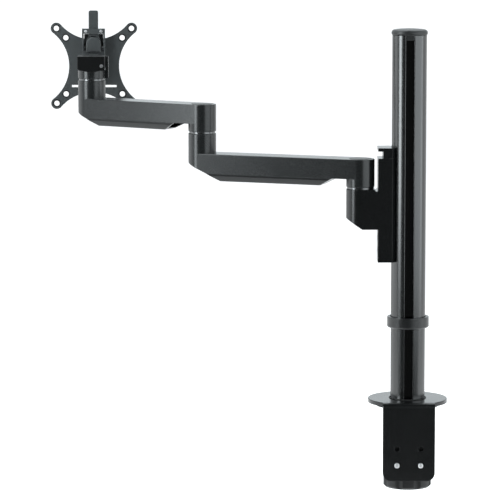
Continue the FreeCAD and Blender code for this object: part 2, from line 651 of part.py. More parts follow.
def make_lock_wedge():
    flange = carrier_outline(WEDGE_TOP - WEDGE_FLANGE, WEDGE_TOP)
    underside = WEDGE_TOP - WEDGE_FLANGE
    stem = wedge_pocket(0, CARRIER_TOP - WEDGE_STEM_LENGTH + WEDGE_FOOT_GAP, underside)
    reach = POLE_RADIUS + SLIDE + WEDGE_STEM_GAP + WEDGE_STEM
    neck = carrier_outline(CARRIER_TOP + GAP / 2, underside)
    neck = neck.cut(box(-CARRIER_BACK - 1, -reach, -KNUCKLE_RADIUS - 1, KNUCKLE_RADIUS + 1, CARRIER_TOP,
                        underside + 1))
    return flange.fuse([stem, neck]).removeSplitter()


# ---- pivots, the same at the shoulder, the elbow and the head ----

def make_pin(plane, end_height):
    """Pin from the piece below, through the bush of the piece above, with a threaded top."""
    base = plane - WASHER_THICK
    seat = plane + end_height - NUT_POCKET
    body = upright(PIN_RADIUS, base - PIN_DEPTH, seat)
    thread = upright(NUT_THREAD, seat, seat + NUT_HEIGHT + 2.5)
    return body.fuse(thread).removeSplitter()


def make_bush(plane, end_height):
    outer = PIN_RADIUS + BUSH_WALL
    return ring(outer - SEAT, PIN_RADIUS + RUN, plane + 0.5, plane + end_height - NUT_POCKET - 0.5)


def make_washer(plane):
    low = plane - WASHER_THICK
    return ring(WASHER_RADIUS, PIN_RADIUS + RUN, low, plane - RUN)


def make_nut(plane, end_height):
    seat = plane + end_height - NUT_POCKET + 0.2
    nut = hexagon(NUT_FLATS, NUT_HEIGHT, V(0, 0, seat))
    return nut.cut(upright(NUT_THREAD + SEAT, seat - 1, seat + NUT_HEIGHT + 1))


def make_cap(plane, end_height):
    top = plane + end_height
    cap = upright(CAP_SEAT_RADIUS - SEAT, top - CAP_SEAT_DEPTH, top + 0.4)
    return cap.makeFillet(0.35, edges_at(cap, top + 0.4))


def pivot_cuts(end_height):
    """What a pivot removes from the piece that turns on it; the joint plane is at height 0."""
    pocket_low = end_height - NUT_POCKET
    return [upright(PIN_RADIUS + BUSH_WALL, 0.5, pocket_low - 0.5),
            upright(PIN_RADIUS + RUN, -1, pocket_low + 1),
            upright(NUT_FLATS / math.sqrt(3) + GAP, pocket_low, end_height + 1),
            upright(CAP_SEAT_RADIUS, end_height - CAP_SEAT_DEPTH, end_height + 1)]


def chamfered(radius, z0, z1, low=0.0, high=0.0):
    """Upright cylinder with chamfered end rims."""
    shape = upright(radius, z0, z1)
    if low:
        shape = shape.makeChamfer(low, edges_at(shape, z0))
    if high:
        shape = shape.makeChamfer(high, edges_at(shape, z1))
    return shape


# ---- arms, made along +X with the joint plane at height 0 ----

def make_arm(length, end_height, post_height, tail_start, tail_rise):
    low = end_height - ARM_BODY
    post_top = end_height + post_height
    body = stadium(length, KNUCKLE_RADIUS, low, end_height)
    body = body.makeFillet(ARM_EDGE, edges_at(body, end_height))
    knuckle = chamfered(KNUCKLE_RADIUS, 0, end_height - ARM_EDGE, low=EDGE_CHAMFER)
    post = chamfered(KNUCKLE_RADIUS, low, post_top, high=EDGE_CHAMFER)
    post.translate(V(length, 0, 0))
    arm = body.fuse([knuckle, post]).removeSplitter()
    tail = [V(length - tail_start, 0, low), V(length + KNUCKLE_RADIUS, 0, low + tail_rise),
            V(length + KNUCKLE_RADIUS + 1, 0, low + tail_rise), V(length + KNUCKLE_RADIUS + 1, 0, low - 1),
            V(length - tail_start, 0, low - 1)]
    tail = prism(tail, V(0, 2 * KNUCKLE_RADIUS + 2, 0))
    tail.translate(V(0, -KNUCKLE_RADIUS - 1, 0))
    half = KNUCKLE_RADIUS - ARM_WALL
    pocket = box(COVER_START + 4, length - KNUCKLE_RADIUS - tail_start, -half, half, low - 1,
                 end_height - ARM_WALL)
    pin_hole = upright(PIN_RADIUS + SEAT, post_top - PIN_DEPTH, post_top + 1, length, 0)
    return arm.cut([tail, pocket, pin_hole] + pivot_cuts(end_height))


def cover_section(inset, s):
    """Half hexagon of the cover at the place s along the arm, drawn in by inset all round."""
    top = KNUCKLE_RADIUS - inset
    bottom = COVER_BOTTOM_HALF - inset
    deep = COVER_DEPTH - inset
    side = 3.0
    knee = deep - 3.0
    points = [V(s, -top, 0), V(s, -top + 0.6, -side), V(s, -bottom - 1.2, -knee), V(s, -bottom + 1.5, -deep),
              V(s, bottom - 1.5, -deep), V(s, bottom + 1.2, -knee), V(s, top - 0.6, -side), V(s, top, 0)]
    return points


def make_cover(length, end_height, cover_end, open_mouth):
    low = end_height - ARM_BODY
    start, end = COVER_START, length - cover_end
    outer = prism(cover_section(0, start), V(end - start, 0, 0))
    inner_start = start - 1 if open_mouth else start + COVER_WALL
    inner_end = end - COVER_WALL
    inner = prism(cover_section(COVER_WALL, inner_start), V(inner_end - inner_start, 0, 0))

    def slants(offset):
        head = [V(start - 5 + offset, 0, 0.01), V(start + offset, 0, 0.01),
                V(start + COVER_SLANT + offset, 0, -COVER_DEPTH), V(start + COVER_SLANT + offset, 0, -20),
                V(start - 5 + offset, 0, -20)]
        foot = [V(end + 5 - offset, 0, 0.01), V(end - offset, 0, 0.01),
                V(end - COVER_SLANT + 1 - offset, 0, -COVER_DEPTH),
                V(end - COVER_SLANT + 1 - offset, 0, -20),
                V(end + 5 - offset, 0, -20)]
        shapes = []
        for points in (head, foot):
            shape = prism(points, V(0, 2 * KNUCKLE_RADIUS + 2, 0))
            shape.translate(V(0, -KNUCKLE_RADIUS - 1, 0))
            shapes.append(shape)
        return shapes

    head_cut, foot_cut = slants(0)
    inner_head, inner_foot = slants(COVER_WALL * 1.4)
    hollow = inner.cut([inner_foot] if open_mouth else [inner_head, inner_foot])
    cover = outer.cut([head_cut, foot_cut]).cut(hollow)
    half = KNUCKLE_RADIUS - ARM_WALL - 0.2
    clips = []
    for place in (0.28, 0.72):
        s = start + (end - start) * place
        for side in (-1, 1):
            y0, y1 = sorted((side * half, side * (half - CLIP_THICK)))
            clips.append(box(s - CLIP_HALF, s + CLIP_HALF, y0, y1, -CLIP_ROOT, CLIP_HEIGHT))
            y0, y1 = sorted((side * (KNUCKLE_RADIUS - COVER_WALL * 0.8), side * (half - CLIP_THICK)))
            clips.append(box(s - CLIP_HALF, s + CLIP_HALF, y0, y1, -CLIP_ROOT, -0.5))
    cover = cover.fuse(clips).removeSplitter()
    cover.translate(V(0, 0, low))
    return cover


# ---- head, made with the head pivot's axis at the origin and its plane at height 0 ----

def make_head_swivel():
    collar = chamfered(KNUCKLE_RADIUS, 0, HEAD_COLLAR, low=EDGE_CHAMFER)
    neck = box(-NECK_HALF, NECK_HALF, -14, TILT_Y, 6, NECK_TOP - 3)
    barrel = rod(BARREL_RADIUS, V(-NECK_HALF, TILT_Y, TILT_Z), V(1, 0, 0), 2 * NECK_HALF)
    inner, outer = HOOD_HALF + GAP, HOOD_HALF + GAP + CHEEK_THICK
    cheek = box(inner, outer, -CHEEK_HALF, CHEEK_HALF, CHEEK_FOOT, HOOD_TOP - CHEEK_FOOT)
    foot = box(KNUCKLE_RADIUS / 2, outer, -CHEEK_HALF, CHEEK_HALF, CHEEK_FOOT, HEAD_COLLAR - CHEEK_FOOT)
    swivel = collar.fuse([neck, barrel, cheek, foot]).removeSplitter()
    axle_hole = rod(AXLE_RADIUS + RUN, V(-NECK_HALF - 1, TILT_Y, TILT_Z), V(1, 0, 0), 2 * NECK_HALF + 2)
    top = NECK_TOP - 3
    cuts = [upright(PIN_RADIUS + BUSH_WALL, 0.5, top - NUT_POCKET - 0.5),
            upright(PIN_RADIUS + RUN, -1, top - NUT_POCKET + 1),
            upright(NUT_FLATS / math.sqrt(3) + GAP, top - NUT_POCKET, top + 1), axle_hole]
    return swivel.cut(cuts)


def make_hood():
    """Plastic hood over the head pivot, with a curved lower edge."""
    arc = Part.Arc(V(-HOOD_HALF, -HOOD_FRONT, HOOD_SIDE_BOTTOM), V(0, -HOOD_FRONT, HOOD_MID_BOTTOM),
                   V(HOOD_HALF, -HOOD_FRONT, HOOD_SIDE_BOTTOM)).toShape()
    top = [V(HOOD_HALF, -HOOD_FRONT, HOOD_SIDE_BOTTOM), V(HOOD_HALF, -HOOD_FRONT, HOOD_TOP),
           V(-HOOD_HALF, -HOOD_FRONT, HOOD_TOP), V(-HOOD_HALF, -HOOD_FRONT, HOOD_SIDE_BOTTOM)]
    wire = Part.Wire([arc] + Part.makePolygon(top).Edges)
    outer = Part.Face(wire).extrude(V(0, HOOD_FRONT + HOOD_BACK, 0))
    edges = [e for e in outer.Edges if e.BoundBox.YLength > HOOD_FRONT and e.BoundBox.ZMin > HOOD_TOP - 0.1]
    edges += [e for e in outer.Edges if abs(e.BoundBox.YMax + HOOD_FRONT) < 1e-4
              and e.BoundBox.ZMax > HOOD_TOP - 0.1]
    outer = outer.makeFillet(HOOD_EDGE, edges)
    inside = box(-HOOD_HALF + HOOD_WALL, HOOD_HALF - HOOD_WALL, -HOOD_FRONT + HOOD_WALL, HOOD_BACK + 1,
                 0, HOOD_TOP - HOOD_WALL)
    collar_room = upright(KNUCKLE_RADIUS + GAP, 0, HEAD_COLLAR + GAP)
    grips = []
    for side in (-1, 1):
        x0, x1 = sorted((side * (NECK_HALF + SEAT), side * (HOOD_HALF - HOOD_WALL / 2)))
        grips.append(box(x0, x1, GRIP_FRONT, GRIP_BACK, HEAD_COLLAR + 2 * GAP, HOOD_TOP - HOOD_WALL / 2))
    hood = outer.cut([inside, collar_room]).fuse(grips).removeSplitter()
    screw_place = V(HOOD_HALF - 4.4, -HOOD_FRONT - 1, HOOD_SIDE_BOTTOM + 3.4)
    return hood.cut(rod(2.4, screw_place, V(0, 1, 0), HOOD_WALL + 2))


def make_hood_screw():
    place = V(HOOD_HALF - 4.4, -HOOD_FRONT + 0.6, HOOD_SIDE_BOTTOM + 3.4)
    screw = rod(2.4 - SEAT, place, V(0, 1, 0), 6)
    socket = hexagon(2.5, 2.0, V(place.x, place.y - 0.1, place.z), V(0, 1, 0))
    return screw.cut(socket)


def make_tilt_bracket():
    """Fork that grips the barrel, with a disc behind it for the screen plate to turn on."""
    cheeks = []
    half = NECK_HALF + 0.5
    for side in (-1, 1):
        x = side * half if side > 0 else -half - CHEEK_WALL
        eye = rod(CHEEK_RADIUS, V(x, TILT_Y, TILT_Z), V(1, 0, 0), CHEEK_WALL)
        flank = box(x, x + CHEEK_WALL, TILT_Y, CHEEK_BACK, PLATE_CENTRE - CHEEK_HALF_HEIGHT,
                    PLATE_CENTRE + CHEEK_HALF_HEIGHT)
        cheeks.append(eye.fuse(flank))
    reach = half + CHEEK_WALL
    back = box(-reach, reach, CHEEK_BACK - 4, CHEEK_BACK, PLATE_CENTRE - CHEEK_HALF_HEIGHT,
               PLATE_CENTRE + CHEEK_HALF_HEIGHT)
    disc = rod(BRACKET_DISC_RADIUS, V(0, CHEEK_BACK, PLATE_CENTRE), V(0, 1, 0), BRACKET_DISC)
    bracket = back.fuse(cheeks + [disc]).removeSplitter()
    axle_hole = rod(AXLE_RADIUS + SEAT, V(-reach - 1, TILT_Y, TILT_Z), V(1, 0, 0), 2 * reach + 2)
    hub_hole = rod(HUB_RADIUS + SEAT, V(0, CHEEK_BACK - 6, PLATE_CENTRE), V(0, 1, 0), 12)
    return bracket.cut([axle_hole, hub_hole])


def make_tilt_axle():
    reach = NECK_HALF + 0.5 + CHEEK_WALL
    axle = rod(AXLE_RADIUS, V(-reach, TILT_Y, TILT_Z), V(1, 0, 0), 2 * reach)
    socket = hexagon(5.0, 3.0, V(reach - 3.0, TILT_Y, TILT_Z), V(1, 0, 0))
    return axle.cut(socket)


def make_tilt_washers():
    washers = []
    for x in (-NECK_HALF - 0.5, NECK_HALF + 0.05):
        washer = rod(BARREL_RADIUS - 1.5, V(x, TILT_Y, TILT_Z), V(1, 0, 0), 0.45)
        washers.append(washer.cut(rod(AXLE_RADIUS + SEAT, V(x - 1, TILT_Y, TILT_Z), V(1, 0, 0), 3)))
    return Part.makeCompound(washers)


def disc_back():
    return CHEEK_BACK + BRACKET_DISC


def web_front():
    return disc_back() + TURN_WASHER


def web_back():
    return web_front() + WEB_THICK


def make_turn_hub():
    """Shouldered pin that the screen plate's frame turns on."""
    start = CHEEK_BACK - 4
    body = rod(HUB_RADIUS, V(0, start, PLATE_CENTRE), V(0, 1, 0), web_back() + 0.2 - start)
    head = rod(HUB_RADIUS + 2.5, V(0, web_back() + 0.2, PLATE_CENTRE), V(0, 1, 0), 2.0)
    return body.fuse(head).removeSplitter()


def make_turn_washer():
    start = disc_back()
    washer = rod(BRACKET_DISC_RADIUS - 1, V(0, start, PLATE_CENTRE), V(0, 1, 0), TURN_WASHER - RUN)
    return washer.cut(rod(HUB_RADIUS + RUN, V(0, start - 1, PLATE_CENTRE), V(0, 1, 0), TURN_WASHER + 2))


def lever_window(extra):
    """Window in the web for the lever's tooth."""
    z = PLATE_CENTRE + LEVER_BOTTOM
    return box(-4 - extra, 4 + extra, web_front() - 1, web_back() + 1, z - extra, z + 4.5 + extra)


def make_frame():
    """Receiver: a web that turns on the hub, rails for the lever in front, hooks for the slide behind."""
    zc = PLATE_CENTRE
    y0, y1 = web_front(), web_back()
    web = box(-WEB_HALF, WEB_HALF, y0, y1, zc + SLIDE_BOTTOM, zc + WEB_TOP)
    pieces = []
    for side in (-1, 1):
        outer, inner = side * RAIL_HALF, side * (RAIL_HALF - RAIL_WALL)
        x0, x1 = min(outer, inner), max(outer, inner)
        pieces.append(box(x0, x1, y1 - RAIL_DEPTH, y1, zc + RAIL_BOTTOM, zc + RAIL_TOP))
        pieces.append(box(x0, x1, y1, y1 + HOOK_DEPTH, zc + SLIDE_BOTTOM, zc + HOOK_TOP))
        lip_x = side * (SLIDE_STEM_HALF + GAP)
        x0, x1 = min(outer, lip_x), max(outer, lip_x)
        y2 = y1 + HOOK_DEPTH
        pieces.append(box(x0, x1, y2 - HOOK_LIP, y2, zc + SLIDE_BOTTOM, zc + HOOK_TOP))
    frame = web.fuse(pieces).removeSplitter()
    hub = rod(HUB_RADIUS + RUN, V(0, y0 - 1, zc), V(0, 1, 0), WEB_THICK + 2)
    pin = rod(LEVER_PIN_RADIUS + SEAT, V(-RAIL_HALF - 1, lever_y(), zc + LEVER_PIVOT), V(1, 0, 0),
              2 * RAIL_HALF + 2)
    return frame.cut([hub, pin, lever_window(GAP)])


def lever_y():
    """Middle of the lever plate, in front of the web."""
    return web_front() - GAP - LEVER_THICK / 2


def make_cross_bar():
    zc = PLATE_CENTRE
    front = web_back() - RAIL_DEPTH
    top = zc + RAIL_TOP
    bar = box(-RAIL_HALF + 1, RAIL_HALF - 1, front - BAR_THICK, front, top - BAR_HEIGHT, top)
    for side in (-1, 1):
        start = V(side * RIVET_PITCH / 2, front - BAR_THICK - 1, top - BAR_HEIGHT / 2)
        bar = bar.cut(rod(RIVET_RADIUS * 0.6 + SEAT, start, V(0, 1, 0), BAR_THICK + 2))
    return bar


def make_bar_block():
    """Block behind the cross-bar's ends that the rivets go into."""
    zc = PLATE_CENTRE
    front = web_back() - RAIL_DEPTH
    inner = RAIL_HALF - RAIL_WALL
    blocks = []
    for side in (-1, 1):
        x0, x1 = sorted((side * inner, side * (LEVER_TAB + 1.2)))
        block = box(x0, x1, front, front + 5, zc + RAIL_TOP - BAR_HEIGHT, zc + RAIL_TOP)
        start = V(side * RIVET_PITCH / 2, front - 1, zc + RAIL_TOP - BAR_HEIGHT / 2)
        blocks.append(block.cut(rod(RIVET_RADIUS * 0.6 + SEAT, start, V(0, 1, 0), 5)))
    return Part.makeCompound(blocks)


def make_bar_rivets():
    zc = PLATE_CENTRE
    front = web_back() - RAIL_DEPTH - BAR_THICK
    rivets = []
    for side in (-1, 1):
        x, z = side * RIVET_PITCH / 2, zc + RAIL_TOP - BAR_HEIGHT / 2
        shank = rod(RIVET_RADIUS * 0.6, V(x, front, z), V(0, 1, 0), BAR_THICK + 3.5)
        head = rod(RIVET_RADIUS, V(x, front - 1.0, z), V(0, 1, 0), 1.0)
        crown = [e for e in head.Edges if abs(e.BoundBox.YMax - (front - 1.0)) < 1e-4]
        rivets.append(head.makeFillet(0.7, crown).fuse(shank).removeSplitter())
    return Part.makeCompound(rivets)


def make_lever():
    """Release lever: a flat plate with a tooth at its foot and a thumb tab at its top."""
    zc = PLATE_CENTRE
    y0 = lever_y() - LEVER_THICK / 2
    arch = []
    for step in range(LEVER_ARCH_STEPS + 1):
        turn = step * math.pi / 2 / LEVER_ARCH_STEPS
        arch.append((LEVER_SHOULDER * math.cos(turn), LEVER_SHOULDER_TOP + LEVER_ARCH * math.sin(turn)))
    arch = [(half, height) for half, height in arch if half > LEVER_TAB]
    steps = [(LEVER_SHOULDER, LEVER_BOTTOM)] + arch
    steps = steps + [(LEVER_TAB, LEVER_SHOULDER_TOP + LEVER_ARCH), (LEVER_TAB, LEVER_TOP)]
    outline = [V(half, y0, zc + height) for half, height in steps]
    outline = outline + [V(-half, y0, zc + height) for half, height in reversed(steps)]
    lever = prism(outline, V(0, LEVER_THICK, 0))
    crown = [e for e in lever.Edges if e.BoundBox.ZMin > zc + LEVER_TOP - 0.1 and e.BoundBox.YLength > 1]
    lever = lever.makeFillet(2.5, crown)
    tooth = box(-4, 4, y0, web_back() + 1.2, zc + LEVER_BOTTOM + 0.5, zc + LEVER_BOTTOM + 4)
    barrel = rod(LEVER_PIN_RADIUS + 1.4, V(-LEVER_SHOULDER, lever_y(), zc + LEVER_PIVOT), V(1, 0, 0),
                 2 * LEVER_SHOULDER)
    barrel = barrel.common(box(-20, 20, y0 - 3, y0 + LEVER_THICK, zc, zc + 50))
    lever = lever.fuse([tooth, barrel]).removeSplitter()
    slit_z = zc + RAIL_TOP - BAR_HEIGHT - 5
    slit = box(-3.8, 3.8, y0 - 1, y0 + LEVER_THICK + 1, slit_z, slit_z + 1.4)
    pin = rod(LEVER_PIN_RADIUS + RUN, V(-20, lever_y(), zc + LEVER_PIVOT), V(1, 0, 0), 40)
    return lever.cut([slit, pin])


def make_lever_pin():
    reach = RAIL_HALF + GAP
    return rod(LEVER_PIN_RADIUS, V(-reach, lever_y(), PLATE_CENTRE + LEVER_PIVOT), V(1, 0, 0), 2 * reach)


def make_lever_springs():
    """Two coils round the pin, one at each end of the lever's barrel."""
    pitch, wire = 0.9, 0.35
    room = RAIL_HALF - RAIL_WALL - LEVER_SHOULDER
    length = room - 2 * wire - 0.3
    springs = []
    for side in (-1, 1):
        radius = LEVER_PIN_RADIUS + wire + 0.2
        path = Part.makeHelix(pitch, length, radius)
        section = Part.Wire(Part.makeCircle(wire, V(radius, 0, 0), V(0, 1, 0)))
        coil = Part.Wire(path.Edges).makePipeShell([section], True, True)
        start = side * (LEVER_SHOULDER + wire + 0.15)
        turn = FreeCAD.Rotation(V(0, 0, 1), V(side, 0, 0))
        coil.Placement = FreeCAD.Placement(V(start, lever_y(), PLATE_CENTRE + LEVER_PIVOT), turn)
        springs.append(coil)
    return Part.makeCompound(springs)


def screen_outline(y):
    """X-shaped outline: four round ends joined by four hollow sides."""
    zc = PLATE_CENTRE
    half = VESA_LARGE / 2
    side = SCREEN_END_RADIUS * math.sqrt(0.5)

    def point(x, z):
        return V(x, y, zc + z)

    edges = []
    corners = [(1, 1), (-1, 1), (-1, -1), (1, -1)]
    for i, (sx, sz) in enumerate(corners):
        nx, nz = corners[(i + 1) % 4]
        tip = point(sx * (half + side), sz * (half + side))
        below = point(sx * (half + side), sz * (half - side))
        beside = point(sx * (half - side), sz * (half + side))
        if sx != nx:
            leave, waist = beside, point(0, sz * SCREEN_WAIST_Z)
            enter, arrive = below, point(nx * (half - side), nz * (half + side))
        else:
            leave, waist = below, point(sx * SCREEN_WAIST_X, 0)
            enter, arrive = beside, point(nx * (half + side), nz * (half - side))
        edges.append(Part.Arc(enter, tip, leave).toShape())
        edges.append(Part.Arc(leave, waist, arrive).toShape())
    return Part.Face(Part.Wire(edges))


def make_screen_plate():
    zc = PLATE_CENTRE
    plate = screen_outline(PLATE_OFFSET).extrude(V(0, SCREEN_PLATE_THICK, 0))
    cuts = []
    for pitch in (VESA_LARGE, VESA_SMALL):
        for sx in (-1, 1):
            for sz in (-1, 1):
                start = V(sx * pitch / 2, PLATE_OFFSET - 1, zc + sz * pitch / 2)
                cuts.append(rod(SCREEN_HOLE_RADIUS, start, V(0, 1, 0), SCREEN_PLATE_THICK + 2))
    slot_z = zc - SCREEN_SLOT_DROP
    near, far = PLATE_OFFSET - 1, PLATE_OFFSET + SCREEN_PLATE_THICK + 1
    cuts.append(box(-SCREEN_SLOT_HALF, SCREEN_SLOT_HALF, near, far,
                    slot_z - SCREEN_SLOT_HEIGHT / 2, slot_z + SCREEN_SLOT_HEIGHT / 2))
    cuts.append(box(-SCREEN_NOTCH_HALF, SCREEN_NOTCH_HALF, PLATE_OFFSET - 1,
                    PLATE_OFFSET + SCREEN_PLATE_THICK + 1, zc - 60, zc + SCREEN_NOTCH_TOP))
    return plate.cut(cuts)


def make_slide_block():
    """T-section slide on the back of the screen plate that drops into the frame's hooks."""
    zc = PLATE_CENTRE
    y0 = web_back() + GAP
    z0, z1 = zc + SLIDE_FOOT, zc + SLIDE_TOP
    head = box(-SLIDE_HEAD_HALF, SLIDE_HEAD_HALF, y0, y0 + SLIDE_HEAD, z0, z1)
    stem = box(-SLIDE_STEM_HALF, SLIDE_STEM_HALF, y0 + SLIDE_HEAD, PLATE_OFFSET, z0, z1)
    slide = head.fuse(stem).removeSplitter()
    hub_room = rod(HUB_RADIUS + 3.0, V(0, y0 - 1, zc), V(0, 1, 0), 4.0)
    keeper = box(-5, 5, y0 - 1, y0 + 2.5, zc + LEVER_BOTTOM - 0.5, zc + LEVER_BOTTOM + 5)
    return slide.cut([hub_room, keeper])


def write(name, shape):
    shape.exportStep("parts/%s.step" % name)
    print(name, "solids", len(shape.Solids), "valid", shape.isValid(), "volume", round(shape.Volume, 1))


def main():
    os.makedirs("parts", exist_ok=True)
    write("base_plate", make_base_plate())
    write("desk_pad", make_desk_pad())
    write("pole_bolt", make_pole_bolt())
    write("pole_foot_plug", make_foot_plug())
    write("pole", make_pole())
    write("pole_cap", make_pole_cap())
    write("lower_jaw", make_lower_jaw())
    write("jaw_screws", make_jaw_screws())
    write("clamp_spindle", make_spindle())
    write("clamp_knob", make_knob())
    write("pressure_plate", make_pressure_plate())
    write("pressure_pad", make_pressure_pad())
    write("stop_collar", make_collar())
    write("collar_nut", make_collar_nut())
    write("collar_screw", make_collar_screw())
    write("arm_carrier", make_carrier())
    write("slot_rail", make_slot_rail())
    write("carrier_screws", make_carrier_screws())
    write("lock_wedge", make_lock_wedge())

    head_end = NECK_TOP - 3
    pivots = [("shoulder", SHOULDER, LOWER_END, LOWER_ANGLE), ("elbow", ELBOW, UPPER_END, UPPER_ANGLE),
              ("head", HEAD, head_end, 0)]
    for name, place, end_height, angle in pivots:
        write(name + "_pin", put(make_pin(0, end_height), place, angle))
        write(name + "_bush", put(make_bush(0, end_height), place, angle))
        write(name + "_washer", put(make_washer(0), place, angle))
        write(name + "_nut", put(make_nut(0, end_height), place, angle))
    write("shoulder_cap", put(make_cap(0, LOWER_END), SHOULDER, LOWER_ANGLE))
    write("elbow_cap", put(make_cap(0, UPPER_END), ELBOW, UPPER_ANGLE))

    lower = make_arm(LOWER_LENGTH, LOWER_END, LOWER_POST, LOWER_COVER_END, LOWER_TAIL_RISE)
    upper = make_arm(UPPER_LENGTH, UPPER_END, UPPER_POST, UPPER_COVER_END, UPPER_TAIL_RISE)
    write("lower_arm", put(lower, SHOULDER, LOWER_ANGLE))
    write("upper_arm", put(upper, ELBOW, UPPER_ANGLE))
    lower_cover = make_cover(LOWER_LENGTH, LOWER_END, LOWER_COVER_END, False)
    upper_cover = make_cover(UPPER_LENGTH, UPPER_END, UPPER_COVER_END, True)
    write("lower_cable_cover", put(lower_cover, SHOULDER, LOWER_ANGLE))
    write("upper_cable_cover", put(upper_cover, ELBOW, UPPER_ANGLE))

    head_pieces = [("head_swivel", make_head_swivel), ("head_hood", make_hood),
                   ("tension_screw", make_hood_screw), ("tilt_bracket", make_tilt_bracket),
                   ("tilt_axle", make_tilt_axle),
                   ("tilt_washers", make_tilt_washers), ("turn_hub", make_turn_hub),
                   ("turn_washer", make_turn_washer), ("receiver_frame", make_frame),
                   ("cross_bar", make_cross_bar), ("bar_blocks", make_bar_block),
                   ("bar_rivets", make_bar_rivets), ("release_lever", make_lever),
                   ("lever_pin", make_lever_pin), ("lever_springs", make_lever_springs),
                   ("screen_plate", make_screen_plate), ("slide_block", make_slide_block)]
    for name, maker in head_pieces:
        shape = maker()
        shape.translate(HEAD)
        write(name, shape)


main()
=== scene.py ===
import bpy
import math
import numpy as np
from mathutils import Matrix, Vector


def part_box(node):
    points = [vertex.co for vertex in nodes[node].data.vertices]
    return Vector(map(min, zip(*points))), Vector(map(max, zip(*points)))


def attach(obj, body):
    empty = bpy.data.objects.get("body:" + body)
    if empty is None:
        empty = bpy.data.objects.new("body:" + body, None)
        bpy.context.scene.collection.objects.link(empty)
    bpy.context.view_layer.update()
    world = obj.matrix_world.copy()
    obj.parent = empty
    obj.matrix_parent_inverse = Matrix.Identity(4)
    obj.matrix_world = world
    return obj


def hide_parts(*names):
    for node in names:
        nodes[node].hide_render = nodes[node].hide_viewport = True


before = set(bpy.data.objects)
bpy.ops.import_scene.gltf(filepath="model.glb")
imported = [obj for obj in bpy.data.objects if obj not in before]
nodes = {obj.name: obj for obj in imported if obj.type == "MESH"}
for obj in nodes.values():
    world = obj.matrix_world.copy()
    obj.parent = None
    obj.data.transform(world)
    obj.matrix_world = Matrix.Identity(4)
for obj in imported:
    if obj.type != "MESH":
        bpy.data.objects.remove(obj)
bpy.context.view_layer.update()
print("frame loaded,", len(nodes), "nodes")


# camera, light and floor

cameraValues = {"place": (-0.20105, -4.0934, 0.72322), "pitchDown": 7.30, "lens": 234.0}


def makeCamera(values):
    data = bpy.data.cameras.new("camera")
    data.lens = values["lens"]
    data.sensor_width = 36.0
    data.clip_end = 200.0
    camera = bpy.data.objects.new("camera", data)
    camera.location = values["place"]
    camera.rotation_euler = (math.radians(90.0 - values["pitchDown"]), 0.0, 0.0)
    bpy.context.scene.collection.objects.link(camera)
    bpy.context.scene.camera = camera


makeCamera(cameraValues)

# turn is the compass direction of a box seen from the arm, 0 towards the camera and + to the right
lightValues = {
    "aim": (-0.2, 0.1, 0.25),
    "tint": (0.93, 1.0, 1.03),
    "leftBox": {"turn": -56.0, "lift": 0.65, "distance": 1.02, "size": (0.42, 2.0), "radiance": 5.4},
    "farLeftBox": {"turn": -57.0, "lift": 0.55, "distance": 1.7, "size": (0.68, 2.0), "radiance": 3.1},
    "backLeftBox": {"turn": -100.0, "lift": 0.55, "distance": 1.7, "size": (1.6, 2.0), "radiance": 0.7},
    "rightBox": {"turn": 57.0, "lift": 0.55, "distance": 1.8, "size": (2.8, 2.0), "radiance": 2.3},
    "topBox": {"turn": 170.0, "lift": 2.2, "distance": 1.1, "size": (2.6, 1.6), "radiance": 2.2},
}


def makeBox(name, values, aim):
    turn = math.radians(values["turn"])
    away = np.array([math.sin(turn), -math.cos(turn), 0.0]) * values["distance"]
    place = np.array(aim) + away + np.array([0.0, 0.0, values["lift"]])
    width, height = values["size"]
    data = bpy.data.lights.new(name, "AREA")
    data.shape = "RECTANGLE"
    data.size = width
    data.size_y = height
    data.energy = values["radiance"] * math.pi * width * height
    data.color = lightValues["tint"]
    lamp = bpy.data.objects.new(name, data)
    lamp.location = place
    toward = bpy.context.scene.camera.location.copy()
    toward[:] = np.array(aim) - place
    lamp.rotation_mode = "QUATERNION"
    lamp.rotation_quaternion = toward.to_track_quat("-Z", "Y")
    lamp.visible_camera = False
    bpy.context.scene.collection.objects.link(lamp)


for boxName in ("leftBox", "farLeftBox", "backLeftBox", "rightBox", "topBox"):
    makeBox(boxName, lightValues[boxName], lightValues["aim"])


# shader maths

class Signal:
    # a socket or a number; sums on it add Math nodes
    def __init__(self, paint, socket):
        self.paint = paint
        self.socket = socket

    def __add__(self, other):
        return self.paint.maths("ADD", self, other)

    def __radd__(self, other):
        return self.paint.maths("ADD", other, self)

    def __sub__(self, other):
        return self.paint.maths("SUBTRACT", self, other)

    def __rsub__(self, other):
        return self.paint.maths("SUBTRACT", other, self)

    def __mul__(self, other):
        return self.paint.maths("MULTIPLY", self, other)

    def __rmul__(self, other):
        return self.paint.maths("MULTIPLY", other, self)

    def __truediv__(self, other):
        return self.paint.maths("DIVIDE", self, other)

    def __rtruediv__(self, other):
        return self.paint.maths("DIVIDE", other, self)


